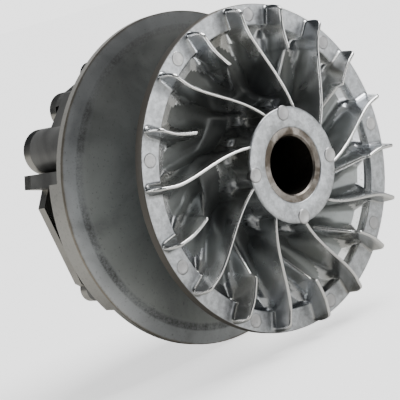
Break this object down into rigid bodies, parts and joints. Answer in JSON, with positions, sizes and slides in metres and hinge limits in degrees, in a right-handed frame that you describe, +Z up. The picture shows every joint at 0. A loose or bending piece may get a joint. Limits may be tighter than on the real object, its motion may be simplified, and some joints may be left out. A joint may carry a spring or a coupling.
{
  "type": "cvt pulley set",
  "caption": "Primary drive clutch: a finned fixed sheave on a post and a movable sheave with towers, rollers, flyweights, spring and cover that closes the belt groove.",
  "frame": {"origin": "on the clutch axis, in the plane of the fixed sheave's rim land, inside the straight part of the crankshaft bore", "axes": "Y is the clutch axis; -Y points out of the finned fixed sheave, +Y towards the cover; +Z is up"},
  "size_m": [0.214, 0.1637, 0.214],
  "materials": {
    "fan_casting": "die-cast, bright",
    "movable_casting": "machined and die-cast, tarnished",
    "cover_casting": "die-cast, dull grey",
    "spider_alloy": "die-cast",
    "post_steel": "turned, lightly stained",
    "zinc_steel": "zinc plated",
    "weight_steel": "ground",
    "spring_wire": "oil-tempered",
    "bronze": "sintered",
    "roller_composite": "moulded, dark",
    "nylon": "moulded, natural"
  },
  "bodies": {
    "fixed_half": {"fixed_sheave": "fan_casting", "post": "post_steel", "spider": "spider_alloy", "spider_shims": "zinc_steel", "limiter_spacer": "zinc_steel", "clutch_spring": "spring_wire", "roller_pin_1": "zinc_steel", "roller_washers_1": "zinc_steel", "slide_buttons_1": "nylon", "roller_pin_2": "zinc_steel", "roller_washers_2": "zinc_steel", "slide_buttons_2": "nylon", "roller_pin_3": "zinc_steel", "roller_washers_3": "zinc_steel", "slide_buttons_3": "nylon"},
    "movable_half": {"movable_sheave": "movable_casting", "sheave_bushing": "bronze", "cover": "cover_casting", "cover_bushing": "bronze", "cover_screws": "zinc_steel", "flyweight_nuts": "zinc_steel", "flyweight_pin_1": "zinc_steel", "flyweight_pin_2": "zinc_steel", "flyweight_pin_3": "zinc_steel"},
    "flyweight_1": {"flyweight_1": "weight_steel"},
    "roller_1": {"roller_1": "roller_composite", "roller_bushing_1": "bronze"},
    "flyweight_2": {"flyweight_2": "weight_steel"},
    "roller_2": {"roller_2": "roller_composite", "roller_bushing_2": "bronze"},
    "flyweight_3": {"flyweight_3": "weight_steel"},
    "roller_3": {"roller_3": "roller_composite", "roller_bushing_3": "bronze"}
  },
  "joints": [
    {"name": "sheave_shift", "type": "slide", "parent": "fixed_half", "child": "movable_half", "axis": [0, -1, 0], "range_m": [0, 0.024], "stiffness_N_per_m": 12000, "springref_m": -0.02, "deforming": ["clutch_spring"]},
    {"name": "flyweight_swing_1", "type": "hinge", "parent": "movable_half", "child": "flyweight_1", "pos_m": [-0.03994, 0.08, 0.03925], "axis": [0.7009, 0, 0.7133], "range_deg": [0, 18]},
    {"name": "roller_spin_1", "type": "hinge", "parent": "fixed_half", "child": "roller_1", "pos_m": [-0.05278, 0.088, 0.05187], "axis": [-0.7009, 0, -0.7133], "continuous": true},
    {"name": "flyweight_swing_2", "type": "hinge", "parent": "movable_half", "child": "flyweight_2", "pos_m": [-0.01402, 0.08, -0.05422], "axis": [-0.9681, 0, 0.2504], "range_deg": [0, 18]},
    {"name": "roller_spin_2", "type": "hinge", "parent": "fixed_half", "child": "roller_2", "pos_m": [-0.01853, 0.088, -0.07164], "axis": [0.9681, 0, -0.2504], "continuous": true},
    {"name": "flyweight_swing_3", "type": "hinge", "parent": "movable_half", "child": "flyweight_3", "pos_m": [0.05396, 0.08, 0.01497], "axis": [0.2672, 0, -0.9636], "range_deg": [0, 18]},
    {"name": "roller_spin_3", "type": "hinge", "parent": "fixed_half", "child": "roller_3", "pos_m": [0.07131, 0.088, 0.01978], "axis": [-0.2672, 0, 0.9636], "continuous": true}
  ],
  "couplings": [
    {"joint": "flyweight_swing_1", "follows": "sheave_shift", "rad_per_m": 13.089},
    {"joint": "flyweight_swing_2", "follows": "sheave_shift", "rad_per_m": 13.089},
    {"joint": "flyweight_swing_3", "follows": "sheave_shift", "rad_per_m": 13.089}
  ]
}
